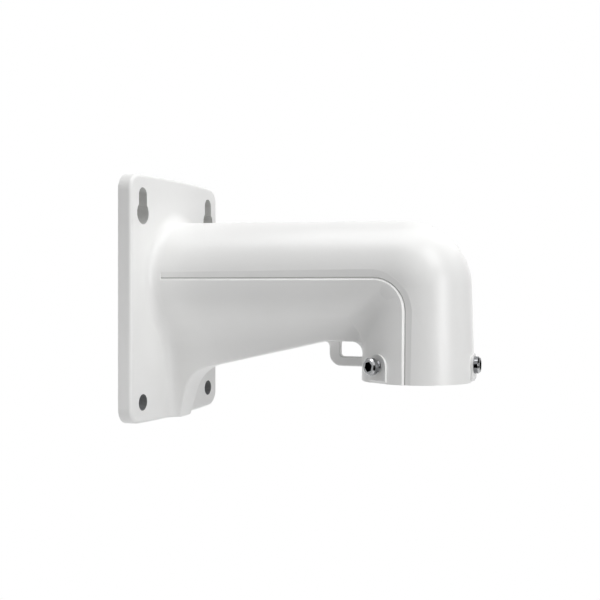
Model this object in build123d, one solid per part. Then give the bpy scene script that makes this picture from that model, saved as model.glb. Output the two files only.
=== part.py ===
# Camera wall bracket: a cast arm with a wall plate, and three lock screws at its open end.
# Millimetres. The wall is the plane X = 0, +X points out from the wall and +Z points up.
# The origin is the middle of the plate's back face.
from build123d import *
from math import atan2, cos, degrees, radians, sin, tan
import os

# Wall plate
plate_width = 140.0
plate_height = 185.0
plate_crown = 2.0
plate_thickness = 11.0
plate_corner_radius = 12.0
plate_edge_radius = 2.5
plate_skin = 4.5
plate_rim = 5.0
rib_thickness = 3.0

# Holes in the plate
hole_spread = 107.0
round_hole_height = -76.0
round_hole_diameter = 12.0
keyhole_height = 63.0
keyhole_diameter = 16.6
keyslot_width = 11.6
keyslot_rise = 13.0
hole_wall = 8.0

# Tube of the arm and elbow, with the height of its axis and the elbow's distance from the wall
arm_root_radius = 43.5
arm_root_height = 15.0
tube_radius = 38.2
elbow_reach = 203.9
elbow_height = 17.9
bend_radius = 10.0
side_bend_radius = 22.0
rim_radius = 40.0
rim_height = -57.7
wall = 4.5
elbow_wall = 7.2
socket_radius = 33.0
socket_depth = 30.0
root_fillet = 8.5
crotch_fillet = 8.0
side_crease_fillet = 20.0

# Web under the arm: depths are measured from the plate's front
web_foot_half_width = 8.5
web_draft = 6.7
web_blend_radius = 40.0
foot_depth = 7.3
foot_lean = 15.5
knee_depth = 17.3
knee_height = -55.6
knee_radius = 27.0
crotch_depth = 128.0
crotch_height = -30.4
crotch_radius = 30.0
ridge_radius = 1.8

# Groove along both sides: a ledge on its inner side and a steep flank, then a shallow shoulder, outside
groove_height = 15.0
groove_bend_radius = 23.0
groove_depth = 1.4
groove_ledge = 1.5
groove_flank = 0.8
groove_shoulder = 6.0
groove_shoulder_depth = 0.9

# Eye for a safety cable
eye_depth = 127.1
eye_bottom = -49.2
eye_bar = 7.0
eye_post = 8.1
eye_thickness = 5.5
eye_corner_radius = 9.0
eye_opening_radius = 2.5
eye_root_radius = 4.0
eye_edge_chamfer = 0.8

# Lock screws and the pads under them
lock_angles = (0.0, 120.0, 240.0)
lock_backed_out = (0.0, 4.0, 4.0)
lock_height = -45.7
pad_reach = 40.6
pad_half_width = 8.2
pad_chamfer = 2.2
head_diameter = 12.0
head_height = 4.0
head_chamfer = 1.1
socket_across_flats = 6.4
socket_turn = 15.0
socket_hex_depth = 2.8
shank_diameter = 8.0
shank_length = 7.0
shank_clearance = 0.1

# Spare length of a cutter, and how near counts as touching or as close when edges are picked
margin = 10.0
touching = 0.01
close_by = 1.0

# Where the bend begins, and the foot of the sections below the plate
bend_x = elbow_reach - bend_radius
bend_z = elbow_height - bend_radius
foot_z = -plate_height / 2 - margin

# A round or square solid that stands on its sketch plane, or hangs below it
upwards = (Align.CENTER, Align.CENTER, Align.MIN)
downwards = (Align.CENTER, Align.CENTER, Align.MAX)


def on_x(x):
    """Sketch plane across the arm: local x is the object's Y, local y is its Z."""
    return Plane(origin=(x, 0, 0), x_dir=(0, 1, 0), z_dir=(1, 0, 0))


def on_side(y=0.0):
    """Sketch plane along the arm: local x is the object's X, local y is its Z."""
    return Plane(origin=(0, y, 0), x_dir=(1, 0, 0), z_dir=(0, -1, 0))


def arm_section(x, inset):
    """Round tube with the tapered web below it, both made smaller all round by the inset."""
    share = (x - plate_thickness) / (bend_x - plate_thickness)
    radius = arm_root_radius + share * (tube_radius - arm_root_radius)
    axis_height = arm_root_height + share * (elbow_height - arm_root_height)
    slope = tan(radians(web_draft))
    half_foot = web_foot_half_width - slope * margin - inset / cos(radians(web_draft))
    half_top = half_foot + slope * (axis_height - foot_z)
    tube = Pos(0, axis_height) * Rot(0, 0, -90) * Circle(radius - inset)
    web = make_face(Polyline(
        (-half_foot, foot_z), (half_foot, foot_z),
        (half_top, axis_height), (-half_top, axis_height), close=True
    ))
    section = tube + web
    corners = section.vertices().group_by(Axis.Y)[-1]
    return on_x(x) * fillet(corners, web_blend_radius + inset)


def side_profile(inset):
    """Everything above the web's underside, seen from the side."""
    foot_x = plate_thickness + foot_depth - margin * tan(radians(foot_lean))
    knee = (plate_thickness + knee_depth, knee_height)
    crotch = (plate_thickness + crotch_depth, crotch_height)
    end_x = elbow_reach + margin
    outline = make_face(Polyline(
        (-plate_width, foot_z), (foot_x, foot_z), knee, crotch,
        (end_x, crotch_height), (end_x, plate_height), (-plate_width, plate_height), close=True
    ))
    outline = fillet(outline.vertices().sort_by_distance(Vector(*knee))[0], knee_radius)
    outline = fillet(outline.vertices().sort_by_distance(Vector(*crotch))[0], crotch_radius)
    if inset > 0:
        outline = offset(outline, -inset)
    return extrude(on_side() * outline, plate_width, both=True)


def arm(start, inset):
    """Tube and web from the start plane to the beginning of the bend."""
    return loft([arm_section(start, inset), arm_section(bend_x, inset)], ruled=True)


def bend(radius, inset):
    """A quarter turn of the tube about an axis across the arm."""
    hinge_x = elbow_reach - radius
    hinge_z = elbow_height - radius
    disc = Pos(0, elbow_height) * Circle(tube_radius - inset)
    above = Pos(0, hinge_z + 2 * tube_radius) * Rectangle(4 * tube_radius, 4 * tube_radius)
    return revolve(on_x(hinge_x) * (disc & above), Axis((hinge_x, 0, hinge_z), (0, 1, 0)), 90)


def elbow(inset):
    """Upright tube, a little wider at the open rim."""
    height = bend_z - rim_height
    tube = Cone(rim_radius - inset, tube_radius - inset, height, align=upwards)
    return Pos(elbow_reach, 0, rim_height) * tube


def plate_outline(inset=0.0):
    """Rounded rectangle with slightly crowned top and bottom edges."""
    half_width = plate_width / 2
    half_height = plate_height / 2
    corner = half_height - plate_crown
    outline = make_face(
        ThreePointArc((-half_width, corner), (0, half_height), (half_width, corner))
        + Line((half_width, corner), (half_width, -corner))
        + ThreePointArc((half_width, -corner), (0, -half_height), (-half_width, -corner))
        + Line((-half_width, -corner), (-half_width, corner))
    )
    outline = fillet(outline.vertices(), plate_corner_radius)
    if inset > 0:
        outline = offset(outline, -inset)
    return on_x(0) * outline


def keyhole(grow=0.0):
    """Large round end with a narrower slot above it."""
    slot = Pos(0, keyslot_rise / 2) * Rectangle(keyslot_width + 2 * grow, keyslot_rise)
    slot = slot + Pos(0, keyslot_rise) * Circle(keyslot_width / 2 + grow)
    return slot + Circle(keyhole_diameter / 2 + grow)


def hole_sketch(grow=0.0):
    """The plate's two keyholes and two round holes, or their bosses."""
    half = hole_spread / 2
    holes = Sketch()
    for side in (-half, half):
        holes += Pos(side, keyhole_height) * keyhole(grow)
        holes += Pos(side, round_hole_height) * Circle(round_hole_diameter / 2 + grow)
    return on_x(0) * holes


def plate_and_arm():
    """Wall plate with the arm and web rising from it in a rounded root."""
    slab_size = (plate_thickness, plate_width + 2 * margin, plate_height + 2 * margin)
    slab = Pos(plate_thickness / 2, 0, 0) * Box(*slab_size)
    body = slab + arm(plate_thickness - plate_skin, 0)
    root = [e for e in front_edges(body) if abs(e.center().Y) < arm_root_radius]
    root = [e for e in root if abs(e.center().Z) < plate_height / 2]
    body = fillet(root, root_fillet)
    body = body & extrude(plate_outline(), 2 * elbow_reach) & side_profile(0)
    border_y = plate_width / 2 - plate_corner_radius
    border_z = plate_height / 2 - plate_corner_radius
    border = [e for e in front_edges(body) if abs(e.center().Y) > border_y or abs(e.center().Z) > border_z]
    body = fillet(border, plate_edge_radius)
    ridge = [e for e in body.edges() if e.center().X > plate_thickness + close_by]
    ridge = [e for e in ridge if e.bounding_box().size.X > ridge_radius]
    ridge = [e for e in ridge if e.center().Z < crotch_height + close_by and abs(e.center().Y) > close_by]
    return fillet(ridge, ridge_radius)


def front_edges(body):
    """Edges that lie in the plane of the plate's front."""
    flat = [e for e in body.edges() if e.bounding_box().size.X < touching]
    return [e for e in flat if abs(e.center().X - plate_thickness) < touching]


def outer_form():
    """Plate, arm, bend and elbow, blended tightly under the web and widely at the web's sides."""
    body = plate_and_arm() + elbow(0) + bend(bend_radius, 0) + bend(side_bend_radius, 0)
    hinge_x = elbow_reach - side_bend_radius
    crease = [e for e in body.edges() if all(abs(elbow_gap(v)) < touching for v in e.vertices())]
    crease = [e for e in crease if e.center().X < hinge_x and e.center().Z > crotch_height - close_by]
    above = Pos(0, 0, crotch_height) * Box(2 * elbow_reach, plate_width, plate_height, align=upwards)
    sides = fillet(crease, side_crease_fillet) & above
    return fillet(crease, crotch_fillet) + sides


def elbow_radius(z):
    """Outer radius of the elbow at a height."""
    share = (z - rim_height) / (bend_z - rim_height)
    return rim_radius + share * (tube_radius - rim_radius)


def elbow_gap(point):
    """How far a point lies outside the elbow's surface."""
    return Vector(point.X - elbow_reach, point.Y, 0).length - elbow_radius(point.Z)


def safety_eye():
    """Flat loop in the corner between web and elbow."""
    left = plate_thickness + eye_depth
    right = elbow_reach - socket_radius - wall / 2
    top = crotch_height + wall / 2
    slope = (crotch_height - knee_height) / (crotch_depth - knee_depth)
    root = left - 2 * eye_root_radius
    under = crotch_height - 2 * eye_root_radius * slope
    outline = make_face(Polyline(
        (root, top), (right, top), (right, eye_bottom), (left, eye_bottom), (left, crotch_height),
        (root, under), close=True
    ))
    outline = fillet(outline.vertices().sort_by_distance(Vector(left, crotch_height))[0], eye_root_radius)
    outline = fillet(outline.vertices().sort_by_distance(Vector(left, eye_bottom))[0], eye_corner_radius)
    opening_left = left + eye_post
    opening_bottom = eye_bottom + eye_bar
    opening_size = (2 * (right - opening_left), crotch_height - opening_bottom)
    opening = RectangleRounded(*opening_size, eye_opening_radius)
    opening = Pos(right, (crotch_height + opening_bottom) / 2) * opening
    loop = extrude(on_side() * (outline - opening), eye_thickness / 2, both=True)
    return chamfer(loop.edges().filter_by(lambda e: e.bounding_box().size.Y < touching), eye_edge_chamfer)


def around_elbow(angle):
    """Sketch plane through the elbow's axis at the lock screws' height, facing out at the angle."""
    turn = radians(angle)
    along = (-sin(turn), cos(turn), 0)
    return Plane(origin=(elbow_reach, 0, lock_height), x_dir=along, z_dir=(cos(turn), sin(turn), 0))


def lock_pad():
    """Flat arch-topped pad from the rim up round a lock screw, with a chamfered foot."""
    drop = lock_height - rim_height
    face = Circle(pad_half_width) + Pos(0, -drop / 2) * Rectangle(2 * pad_half_width, drop)
    return extrude(Pos(0, 0, socket_radius) * face, pad_reach - socket_radius)


def foot_chamfer():
    """Wedge that takes the lower outer corner off a pad."""
    drop = lock_height - rim_height
    wedge = make_face(Polyline(
        (pad_reach - pad_chamfer, -drop), (pad_reach, pad_chamfer - drop), (pad_reach, -drop), close=True
    ))
    across = Plane(origin=(0, 0, 0), x_dir=(0, 0, 1), z_dir=(-1, 0, 0))
    return extrude(across * wedge, pad_half_width, both=True)


def groove_outline(surface):
    """Cross-section of the groove: distance along the side, and depth below the surface given."""
    return [
        (-groove_ledge, surface), (0, surface - groove_depth),
        (groove_flank, surface - groove_shoulder_depth), (groove_shoulder, surface),
        (groove_shoulder, surface + margin), (-groove_ledge, surface + margin),
    ]


def groove():
    """Cutter for the groove on the +Y side: along the arm, round the bend and down the elbow."""
    start_x = plate_thickness + root_fillet
    hinge_x = elbow_reach - groove_bend_radius
    hinge_z = groove_height - groove_bend_radius
    share = (start_x - plate_thickness) / (bend_x - plate_thickness)
    root = arm_root_radius + share * (tube_radius - arm_root_radius)
    turn_radius = (tube_radius + elbow_radius(hinge_z)) / 2
    across = [[(y, groove_height + u) for u, y in groove_outline(surface)] for surface in (root, turn_radius)]
    start = on_x(start_x) * make_face(Polyline(*across[0], close=True))
    turn = on_x(hinge_x) * make_face(Polyline(*across[1], close=True))
    surfaces = (turn_radius, rim_radius)
    upright = [[(elbow_reach + u, y) for u, y in groove_outline(surface)] for surface in surfaces]
    top = Pos(0, 0, hinge_z) * make_face(Polyline(*upright[0], close=True))
    end = Pos(0, 0, rim_height) * make_face(Polyline(*upright[1], close=True))
    hinge = Axis((hinge_x, 0, hinge_z), (0, 1, 0))
    return loft([start, turn], ruled=True) + revolve(turn, hinge, 90) + loft([end, top], ruled=True)


def core():
    """Hollow inside the arm, web, bend and elbow, and the socket at the open end."""
    inside = arm(-margin, wall) & side_profile(wall)
    inside = inside & extrude(plate_outline(wall), 2 * elbow_reach, both=True)
    inside = inside + bend(bend_radius, elbow_wall) + bend(side_bend_radius, elbow_wall) + elbow(elbow_wall)
    socket = Cylinder(socket_radius, socket_depth + margin, align=downwards)
    return inside + Pos(elbow_reach, 0, rim_height + socket_depth) * socket


def plate_pocket():
    """Recess in the plate's back, round the holes' bosses and a rib from each of them to the arm."""
    pocket = extrude(plate_outline(plate_rim), plate_thickness - plate_skin)
    pocket = pocket - extrude(hole_sketch(hole_wall), plate_thickness)
    for side in (-hole_spread / 2, hole_spread / 2):
        for height in (keyhole_height, round_hole_height):
            run = Vector(side, height - arm_root_height)
            rib = Rectangle(run.length, rib_thickness, align=(Align.MIN, Align.CENTER))
            rib = Pos(0, arm_root_height) * Rot(0, 0, degrees(atan2(run.Y, run.X))) * rib
            pocket = pocket - extrude(on_x(0) * rib, plate_thickness)
    return pocket


def bracket_body():
    """The whole casting."""
    body = outer_form() + safety_eye()
    for angle in lock_angles:
        body = body + around_elbow(angle) * lock_pad()
        body = body - around_elbow(angle) * foot_chamfer()
    side_groove = groove()
    body = body - side_groove - side_groove.mirror(Plane.XZ)
    body = body - (core() + plate_pocket()) - extrude(hole_sketch(), plate_thickness)
    hole = Cylinder(shank_diameter / 2 + shank_clearance, 2 * pad_reach, align=upwards)
    for angle in lock_angles:
        body = body - around_elbow(angle) * hole
    return body


def lock_screw(backed_out):
    """Socket-head screw along local z, its head's underside above the pad by the distance backed out."""
    seat = pad_reach + backed_out
    head = Pos(0, 0, seat) * Cylinder(head_diameter / 2, head_height, align=upwards)
    head = chamfer(head.edges().group_by(Axis.Z)[-1], head_chamfer)
    hexagon = RegularPolygon(socket_across_flats / 2, 6, major_radius=False, rotation=socket_turn)
    hexagon = extrude(Pos(0, 0, seat + head_height - socket_hex_depth) * hexagon, socket_hex_depth)
    shank = Cylinder(shank_diameter / 2, shank_length, align=downwards)
    return head - hexagon + Pos(0, 0, seat) * shank


def lock_screws():
    """The three screws, the first seated and the others backed out."""
    return [around_elbow(a) * lock_screw(out) for a, out in zip(lock_angles, lock_backed_out)]


os.makedirs("parts", exist_ok=True)
export_step(bracket_body(), "parts/bracket_body.step")
export_step(Compound(children=lock_screws()), "parts/lock_screws.step")
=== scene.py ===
"""Looks of the camera wall bracket: white powder-painted casting and steel lock screws.

Metres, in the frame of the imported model: the wall is X = 0, +X points out from it, +Z up.
"""

import math

import bpy
import numpy as np
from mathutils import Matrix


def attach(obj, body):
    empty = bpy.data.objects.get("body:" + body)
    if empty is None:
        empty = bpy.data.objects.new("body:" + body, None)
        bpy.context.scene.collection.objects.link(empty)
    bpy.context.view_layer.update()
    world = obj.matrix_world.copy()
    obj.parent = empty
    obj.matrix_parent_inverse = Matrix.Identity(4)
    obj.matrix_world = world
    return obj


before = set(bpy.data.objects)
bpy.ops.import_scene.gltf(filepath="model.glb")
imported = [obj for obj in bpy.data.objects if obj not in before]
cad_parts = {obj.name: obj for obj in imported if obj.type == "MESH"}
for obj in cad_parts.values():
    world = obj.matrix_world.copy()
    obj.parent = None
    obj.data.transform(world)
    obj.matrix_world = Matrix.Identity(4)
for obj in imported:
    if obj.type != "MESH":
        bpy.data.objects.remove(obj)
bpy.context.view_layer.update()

MM = 0.001

# Lock screws, as in the part's source
ELBOW_X = 203.9 * MM
LOCK_Z = -45.7 * MM
LOCK_ANGLES = (0.0, 120.0, 240.0)
LOCK_BACKED_OUT = (0.0, 4.0 * MM, 4.0 * MM)
PAD_REACH = 40.6 * MM
HEAD_HEIGHT = 4.0 * MM
HEAD_CHAMFER = 1.1 * MM
HEX_REACH = 3.75 * MM  # just past the hexagon's corners
SHANK_RADIUS = 4.0 * MM
SCREW_ROOM = 8.0 * MM  # nothing but the screw itself lies this near its axis

# Holes in the plate, as in the part's source: half the spread, heights, radii and the keyholes' rise
HOLE_Y = 53.5 * MM
ROUND_HOLE_Z = -76.0 * MM
ROUND_HOLE_RADIUS = 6.0 * MM
KEYHOLE_Z = 63.0 * MM
KEYHOLE_RADIUS = 8.3 * MM
KEYSLOT_RISE = 13.0 * MM
PLATE_THICKNESS = 11.0 * MM
NEAR = 0.05 * MM  # slack for a triangle's middle, which lies a little inside a round surface

# Groove along both sides, as in the part's source: its line's height, bend and flank, where it starts,
# half the wall's thickness, and the arm's radius at the plate and at the bend
GROOVE_Z = 15.0 * MM
GROOVE_BEND = 23.0 * MM
GROOVE_FLANK = 0.8 * MM
GROOVE_START = 19.5 * MM
HALF_WALL = 2.25 * MM
ROOT_RADIUS = 43.5 * MM
TUBE_RADIUS = 38.2 * MM
BEND_X = 193.9 * MM

# Thread on the bare shanks: a ridge that starts just clear of the shank and fades out at both ends
THREAD_PITCH = 1.0 * MM
THREAD_HEIGHT = 0.28 * MM
THREAD_CLEAR = 0.01 * MM
THREAD_FADE = 0.3 * MM
THREAD_STEPS_ALONG = 8  # for each pitch
THREAD_STEPS_ROUND = 96

# Sizes of the paint's marks: orange peel, fine grain, and slow changes of tone; and of the patches in the
# painted shade's grey
PEEL = 1.5 * MM
GRAIN = 0.4 * MM
CLOUD = 30.0 * MM
SHADE_GREY_PATCH = 3.0 * MM

# Camera: at the photograph's viewing angle, level, with the horizon a little above the middle
CAMERA_PLACE = (0.3643, -0.66114, 0.01016)
CAMERA_TURN = math.radians(20.74)
CAMERA_LENS = 56.7
CAMERA_SENSOR = 36.0
HORIZON_SHIFT = -15.05 / 600

# Studio: the floor, the middle that most lamps face, and where the floor begins and ends to fade to white
WHITE = (1.0, 1.0, 1.0, 1.0)
MIDDLE = (0.12, 0.0, 0.0)
PLATE_MIDDLE = (0.0, -0.03, -0.03)
ORIGIN = (0.0, 0.0, 0.0)
FLOOR_Z = -0.40
FLOOR_HALF = 6.0
FADE_START, FADE_END = 0.15, 0.46
FADE_LEAST = 0.25

# Black flags: name and corners
FLAGS = (
    ("front_flag", [(-0.3, -0.45, -0.39), (0.9, -0.45, -0.39), (0.9, -0.75, 0.17), (-0.3, -0.75, 0.17)]),
    ("back_flag", [(1.0, -0.2, -0.39), (0.7, 0.9, -0.39), (0.7, 0.9, 1.1), (1.0, -0.2, 1.1)]),
)

# Lamps: name, place, the point that it faces, side, and power in watts
LAMPS = (
    ("top_box", (0.1, -0.1, 1.3), MIDDLE, 1.0, 6.9),
    ("top_front_box", (0.12, -0.45, 1.25), MIDDLE, 0.7, 0.9),
    ("top_left_box", (-0.15, -0.3, 1.2), MIDDLE, 0.7, 2.8),
    ("back_box", (0.8, 0.7, 0.9), MIDDLE, 0.8, 3.9),
    ("high_right_box", (1.0, -0.4, 0.9), MIDDLE, 0.7, 6.0),
    ("right_box", (1.35, -0.5, 0.1), MIDDLE, 0.5, 4.7),
    ("low_right_box", (1.2, -0.75, -0.1), MIDDLE, 0.5, 0.36),
    ("near_left_box", (-0.06, -0.38, -0.12), PLATE_MIDDLE, 0.25, 0.24),
    ("plate_back_box", (-1.1, 0.25, 0.2), ORIGIN, 0.6, 3.0),
)


# Nodes and colours
def linear(code):
    """sRGB hex colour as a linear RGBA tuple."""
    values = [int(code[i:i + 2], 16) / 255 for i in (1, 3, 5)]
    return tuple(v / 12.92 if v <= 0.04045 else ((v + 0.055) / 1.055) ** 2.4 for v in values) + (1.0,)


def add(tree, kind, links=None, settings=None, **sockets):
    """Adds one node: settings are its properties, sockets its input values, links its inputs' sources."""
    node = tree.nodes.new(kind)
    for name, value in (settings or {}).items():
        setattr(node, name, value)
    for name, value in sockets.items():
        node.inputs[name.replace("_", " ")].default_value = value
    for name, source in (links or {}).items():
        tree.links.new(source, node.inputs[name])
    return node


def new_material(name):
    """Empty node material and its tree."""
    material = bpy.data.materials.new(name)
    material.use_nodes = True
    material.node_tree.nodes.clear()
    return material, material.node_tree


def white_powder_paint():
    """White polyester powder paint baked on die-cast aluminium.

    To the eye it is a clean, faintly warm white with a satin gloss. Its film has melted to a soft
    orange peel about 1.5 mm across, so broad highlights stay smooth but never mirror-sharp.
    """
    material, tree = new_material("white_powder_paint_on_die_cast_aluminium")
    place = add(tree, "ShaderNodeTexCoord").outputs["Object"]
    peel = add(tree, "ShaderNodeTexNoise", {"Vector": place}, Scale=1 / PEEL, Detail=2.0)
    grain = add(tree, "ShaderNodeTexNoise", {"Vector": place}, Scale=1 / GRAIN, Detail=1.0)
    cloud = add(tree, "ShaderNodeTexNoise", {"Vector": place}, Scale=1 / CLOUD, Detail=2.0)
    tone = add(tree, "ShaderNodeMix", {"Factor": cloud.outputs["Fac"]}, {"data_type": "RGBA"})
    tone.inputs["A"].default_value = linear("#F1F1F0")
    tone.inputs["B"].default_value = linear("#F4F4F3")
    gloss = add(tree, "ShaderNodeMapRange", {"Value": grain.outputs["Fac"]}, To_Min=0.27, To_Max=0.36)
    coarse = add(
        tree, "ShaderNodeBump", {"Height": peel.outputs["Fac"]}, Strength=0.25, Distance=0.02 * MM,
    )
    fine = add(
        tree, "ShaderNodeBump", {"Height": grain.outputs["Fac"], "Normal": coarse.outputs["Normal"]},
        Strength=0.2, Distance=0.01 * MM,
    )
    shader = add(
        tree, "ShaderNodeBsdfPrincipled",
        {
            "Base Color": tone.outputs["Result"],
            "Roughness": gloss.outputs["Result"],
            "Normal": fine.outputs["Normal"],
        },
        IOR=1.5,
    )
    add(tree, "ShaderNodeOutputMaterial", {"Surface": shader.outputs["BSDF"]})
    return material


def painted_shade_grey(name, first, second, roughness):
    """Dull grey in two tones that change over about 3 mm, painted shade for hollows of the casting.

    To the eye it is a soft dull grey without highlights, darker than the paint round it.
    """
    material, tree = new_material(name)
    place = add(tree, "ShaderNodeTexCoord").outputs["Object"]
    patch = add(tree, "ShaderNodeTexNoise", {"Vector": place}, Scale=1 / SHADE_GREY_PATCH, Detail=3.0)
    tone = add(tree, "ShaderNodeMix", {"Factor": patch.outputs["Fac"]}, {"data_type": "RGBA"})
    tone.inputs["A"].default_value = linear(first)
    tone.inputs["B"].default_value = linear(second)
    bump = add(tree, "ShaderNodeBump", {"Height": patch.outputs["Fac"]}, Strength=0.2, Distance=0.05 * MM)
    shader = add(
        tree, "ShaderNodeBsdfPrincipled",
        {"Base Color": tone.outputs["Result"], "Normal": bump.outputs["Normal"]},
        Roughness=roughness, IOR=1.5,
    )
    add(tree, "ShaderNodeOutputMaterial", {"Surface": shader.outputs["BSDF"]})
    return material


def screw_steel(name, first, second, grain, gloss_low, gloss_high, depth):
    """Stainless steel in two greys, with marks of one size that change colour, gloss and height alike.

    To the eye it is a small hard mirror with black and white streaks. Marks finer than 0.3 mm are drawn
    at that size, because the render loses finer ones.
    """
    material, tree = new_material(name)
    place = add(tree, "ShaderNodeTexCoord").outputs["Object"]
    marks = add(tree, "ShaderNodeTexNoise", {"Vector": place}, Scale=1 / grain, Detail=2.0)
    gloss = add(
        tree, "ShaderNodeMapRange", {"Value": marks.outputs["Fac"]}, To_Min=gloss_low, To_Max=gloss_high,
    )
    tone = add(tree, "ShaderNodeMix", {"Factor": marks.outputs["Fac"]}, {"data_type": "RGBA"})
    tone.inputs["A"].default_value = linear(first)
    tone.inputs["B"].default_value = linear(second)
    bump = add(tree, "ShaderNodeBump", {"Height": marks.outputs["Fac"]}, Strength=0.3, Distance=depth)
    shader = add(
        tree, "ShaderNodeBsdfPrincipled",
        {
            "Base Color": tone.outputs["Result"],
            "Roughness": gloss.outputs["Result"],
            "Normal": bump.outputs["Normal"],
        },
        Metallic=1.0,
    )
    add(tree, "ShaderNodeOutputMaterial", {"Surface": shader.outputs["BSDF"]})
    return material


# Pieces
def new_piece(name, points, faces):
    """Mesh object at the origin, linked to the scene."""
    mesh = bpy.data.meshes.new(name)
    mesh.from_pydata(points, [], faces)
    mesh.update()
    piece = bpy.data.objects.new(name, mesh)
    bpy.context.scene.collection.objects.link(piece)
    return piece


def set_materials(node, *materials):
    """Gives a CAD node these materials, the first on every face, and returns its mesh and face middles."""
    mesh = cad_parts[node].data
    mesh.materials.clear()
    for material in materials:
        mesh.materials.append(material)
    middles = np.zeros(len(mesh.polygons) * 3, np.float32)
    mesh.polygons.foreach_get("center", middles)
    return mesh, middles.reshape(-1, 3).T


def finish_casting(mesh, middles):
    """Second material to the keyholes' walls, third to the round holes', fourth to the groove's flank: all
    three are painted shade.

    A hole's wall lies between the plate's back and front, within the hole's radius of its middle line. The
    groove's flank lies within its width outside the groove's line, which is level, turns a quarter and goes
    down, and on the outer half of the wall, whose radius changes evenly along the arm.
    """
    x, y, z = middles
    side = np.abs(y) - HOLE_Y
    rise = z - KEYHOLE_Z - np.clip(z - KEYHOLE_Z, 0.0, KEYSLOT_RISE)
    through = (x > NEAR) & (x < PLATE_THICKNESS - NEAR)
    keyhole = through & (np.hypot(side, rise) < KEYHOLE_RADIUS + NEAR)
    round_hole = through & (np.hypot(side, z - ROUND_HOLE_Z) < ROUND_HOLE_RADIUS + NEAR)
    hinge_x, hinge_z = ELBOW_X - GROOVE_BEND, GROOVE_Z - GROOVE_BEND
    turning = np.hypot(np.maximum(x - hinge_x, 0.0), np.maximum(z - hinge_z, 0.0)) - GROOVE_BEND
    share = np.clip((x - PLATE_THICKNESS) / (BEND_X - PLATE_THICKNESS), 0.0, 1.0)
    outside = np.abs(y) > ROOT_RADIUS + share * (TUBE_RADIUS - ROOT_RADIUS) - HALF_WALL
    flank = (turning > 0) & (turning < GROOVE_FLANK) & outside & (x > GROOVE_START)
    mesh.polygons.foreach_set("material_index", (keyhole + 2 * round_hole + 3 * flank).astype(np.int32))


def finish_screws(mesh, middles):
    """First material to the heads' edges, second to sides and shanks, third to ends, fourth to sockets, whose
    near-black is painted shadow.

    A face is told by how far out its middle lies along its screw's axis, and how far from that axis.
    """
    x, y, z = middles
    index = np.ones(len(x), np.int32)
    for angle, backed_out in zip(LOCK_ANGLES, LOCK_BACKED_OUT):
        turn = math.radians(angle)
        out = (x - ELBOW_X) * math.cos(turn) + y * math.sin(turn)
        across = y * math.cos(turn) - (x - ELBOW_X) * math.sin(turn)
        from_axis = np.hypot(across, z - LOCK_Z)
        top = PAD_REACH + backed_out + HEAD_HEIGHT
        here = from_axis < SCREW_ROOM
        index[here & (out > top - HEAD_CHAMFER - NEAR)] = 0
        index[here & (out > top - NEAR)] = 2
        index[(from_axis < HEX_REACH) & (out < top - NEAR) & (out > top - HEAD_HEIGHT + NEAR)] = 3
    mesh.polygons.foreach_set("material_index", index)


def screw_thread(name, angle, length):
    """Helical ridge round the bare part of a shank, between the pad and the head.

    Over length u and turn v, the radius is the shank's plus a triangle wave of u / pitch - v / turn, faded
    out at both ends.
    """
    along = np.linspace(0.0, length, int(THREAD_STEPS_ALONG * length / THREAD_PITCH) + 1)
    round_it = np.linspace(0.0, 2 * math.pi, THREAD_STEPS_ROUND, endpoint=False)
    u, v = np.meshgrid(along, round_it, indexing="ij")
    phase = (u / THREAD_PITCH - v / (2 * math.pi)) % 1.0
    ridge = 1.0 - np.abs(2.0 * phase - 1.0)
    fade = np.clip(np.minimum(u, length - u) / THREAD_FADE, 0.0, 1.0)
    radius = SHANK_RADIUS + THREAD_HEIGHT * ridge * fade + THREAD_CLEAR
    turn = math.radians(angle)
    out = PAD_REACH + u
    across, up = radius * np.cos(v), radius * np.sin(v)
    x = ELBOW_X + out * math.cos(turn) - across * math.sin(turn)
    y = out * math.sin(turn) + across * math.cos(turn)
    points = np.stack([x, y, LOCK_Z + up], -1).reshape(-1, 3)
    rows, columns = u.shape
    i, j = np.meshgrid(np.arange(rows - 1), np.arange(columns), indexing="ij")
    k = (j + 1) % columns
    faces = np.stack([i * columns + j, i * columns + k, (i + 1) * columns + k, (i + 1) * columns + j], -1)
    return new_piece(name, points.tolist(), faces.reshape(-1, 4).tolist())


# Studio
def make_camera():
    """Level camera with the fitted place, heading and lens."""
    data = bpy.data.cameras.new("camera")
    data.sensor_width = CAMERA_SENSOR
    data.lens = CAMERA_LENS
    data.shift_y = HORIZON_SHIFT
    data.clip_start = 0.01
    data.clip_end = 50.0
    camera = bpy.data.objects.new("camera", data)
    camera.location = CAMERA_PLACE
    camera.rotation_euler = (math.pi / 2, 0.0, CAMERA_TURN)
    bpy.context.scene.collection.objects.link(camera)
    bpy.context.scene.camera = camera


def seen_share(tree):
    """1 for rays from the camera, or by mirror or glass, and 0 for those that carry light."""
    path = add(tree, "ShaderNodeLightPath").outputs
    largest = {"operation": "MAXIMUM"}
    direct = add(tree, "ShaderNodeMath", {0: path["Is Camera Ray"], 1: path["Is Glossy Ray"]}, largest)
    seen = add(tree, "ShaderNodeMath", {0: direct.outputs[0], 1: path["Is Transmission Ray"]}, largest)
    return seen.outputs[0]


def make_world():
    """White where it is seen, and without any light of its own."""
    world = bpy.data.worlds.new("studio")
    bpy.context.scene.world = world
    world.use_nodes = True
    tree = world.node_tree
    tree.nodes.clear()
    background = add(tree, "ShaderNodeBackground", {"Strength": seen_share(tree)}, Color=WHITE)
    add(tree, "ShaderNodeOutputWorld", {"Surface": background.outputs["Background"]})


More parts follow.
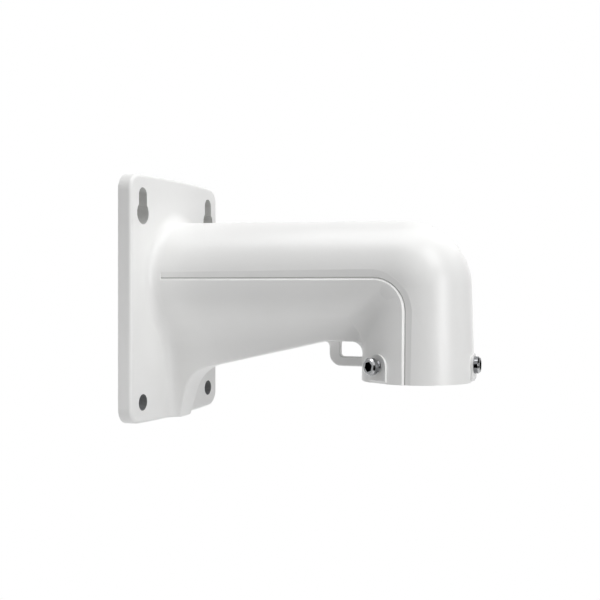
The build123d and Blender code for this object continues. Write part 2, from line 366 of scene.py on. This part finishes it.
def make_floor():
    """Pale floor well below the bracket, open when seen from below.

    It keeps the shadow, and fades to plain white away from it.
    """
    left, right = -FLOOR_HALF, FLOOR_HALF
    corners = [(left, left, FLOOR_Z), (right, left, FLOOR_Z), (right, right, FLOOR_Z), (left, right, FLOOR_Z)]
    floor = new_piece("floor", corners, [(0, 1, 2, 3)])
    material, tree = new_material("pale_studio_floor")
    place = add(tree, "ShaderNodeTexCoord").outputs["Object"]
    centre = add(tree, "ShaderNodeVectorMath", {0: place}, {"operation": "DISTANCE"})
    centre.inputs[1].default_value = (MIDDLE[0], MIDDLE[1], FLOOR_Z)
    fade = add(
        tree, "ShaderNodeMapRange", {"Value": centre.outputs["Value"]}, {"interpolation_type": "SMOOTHSTEP"},
        From_Min=FADE_START, From_Max=FADE_END, To_Min=FADE_LEAST, To_Max=1.0,
    )
    share = add(
        tree, "ShaderNodeMath", {0: fade.outputs["Result"], 1: seen_share(tree)}, {"operation": "MULTIPLY"},
    )
    matt = add(tree, "ShaderNodeBsdfDiffuse", Color=linear("#EDEDED"))
    glow = add(tree, "ShaderNodeEmission", Color=WHITE, Strength=1.0)
    upper = add(tree, "ShaderNodeMixShader", {0: share.outputs[0], 1: matt.outputs[0], 2: glow.outputs[0]})
    under = add(tree, "ShaderNodeNewGeometry").outputs["Backfacing"]
    clear = add(tree, "ShaderNodeBsdfTransparent")
    one_sided = add(tree, "ShaderNodeMixShader", {0: under, 1: upper.outputs[0], 2: clear.outputs[0]})
    add(tree, "ShaderNodeOutputMaterial", {"Surface": one_sided.outputs[0]})
    floor.data.materials.append(material)


def black_flag(name, corners):
    """Black card that only reflections show. As in a photo studio, it gives the steel dark streaks."""
    flag = new_piece(name, corners, [(0, 1, 2, 3)])
    flag.visible_camera = flag.visible_diffuse = flag.visible_shadow = flag.visible_transmission = False
    material, tree = new_material("black_felt_on_" + name)
    matt = add(tree, "ShaderNodeBsdfDiffuse", Color=linear("#0A0A0A"))
    add(tree, "ShaderNodeOutputMaterial", {"Surface": matt.outputs[0]})
    flag.data.materials.append(material)


def soft_box(name, place, aim, size, power):
    """Square area lamp at a place, facing a point."""
    data = bpy.data.lights.new(name, "AREA")
    data.shape = "SQUARE"
    data.size = size
    data.energy = power
    lamp = bpy.data.objects.new(name, data)
    direction = np.array(place) - np.array(aim)
    flat = math.hypot(direction[0], direction[1])
    lamp.location = place
    lamp.rotation_euler = (math.atan2(flat, direction[2]), 0.0, math.atan2(direction[0], -direction[1]))
    bpy.context.scene.collection.objects.link(lamp)


make_camera()
make_world()
make_floor()
for name, corners in FLAGS:
    black_flag(name, corners)
for name, place, aim, size, power in LAMPS:
    soft_box(name, place, aim, size, power)
bpy.context.scene.view_settings.view_transform = "Standard"

# The keyholes' walls get a pale grey and the round holes' walls a darker one: both are painted shade in
# the hollows, whose real paint is the same white as the rest.
paint = white_powder_paint()
keyhole_shade = painted_shade_grey("keyhole_wall_painted_shade", "#C6C6C4", "#D2D2D0", 0.6)
round_hole_shade = painted_shade_grey("round_hole_wall_painted_shade", "#7A7B7C", "#929394", 0.5)
# The groove's flank gets a grey that is painted shade, which draws the groove's dark line.
groove_shade = painted_shade_grey("groove_flank_painted_shade", "#C4C4C2", "#CCCCCA", 0.4)
finish_casting(*set_materials("bracket_body", paint, keyhole_shade, round_hole_shade, groove_shade))

# Turned edges are a bright grey mirror, rolled sides and threads a darker one, the ends a dull grey, and the
# hex sockets nearly black, which is painted shadow in them.
edge = screw_steel("bright_turned_stainless_steel", "#A9AAAC", "#C9C9CA", 0.3 * MM, 0.14, 0.22, 0.01 * MM)
# The sides' and threads' dark grey is partly oil and partly painted dark reflection.
side = screw_steel("rolled_steel_with_oil_and_painted_dark_reflection", "#56575A", "#A2A3A5", 0.6 * MM, 0.06, 0.13, 0.015 * MM)
end = screw_steel("cold_forged_steel", "#8B8C8E", "#A3A4A6", 0.5 * MM, 0.3, 0.42, 0.03 * MM)
inside = screw_steel("socket_painted_shadow", "#08090A", "#161617", 0.8 * MM, 0.4, 0.55, 0.02 * MM)
finish_screws(*set_materials("lock_screws", edge, side, end, inside))
for number, (angle, backed_out) in enumerate(zip(LOCK_ANGLES, LOCK_BACKED_OUT)):
    if backed_out > 0:
        thread = screw_thread("screw_thread_%d" % number, angle, backed_out)
        thread.data.materials.append(side)
        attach(thread, "root")
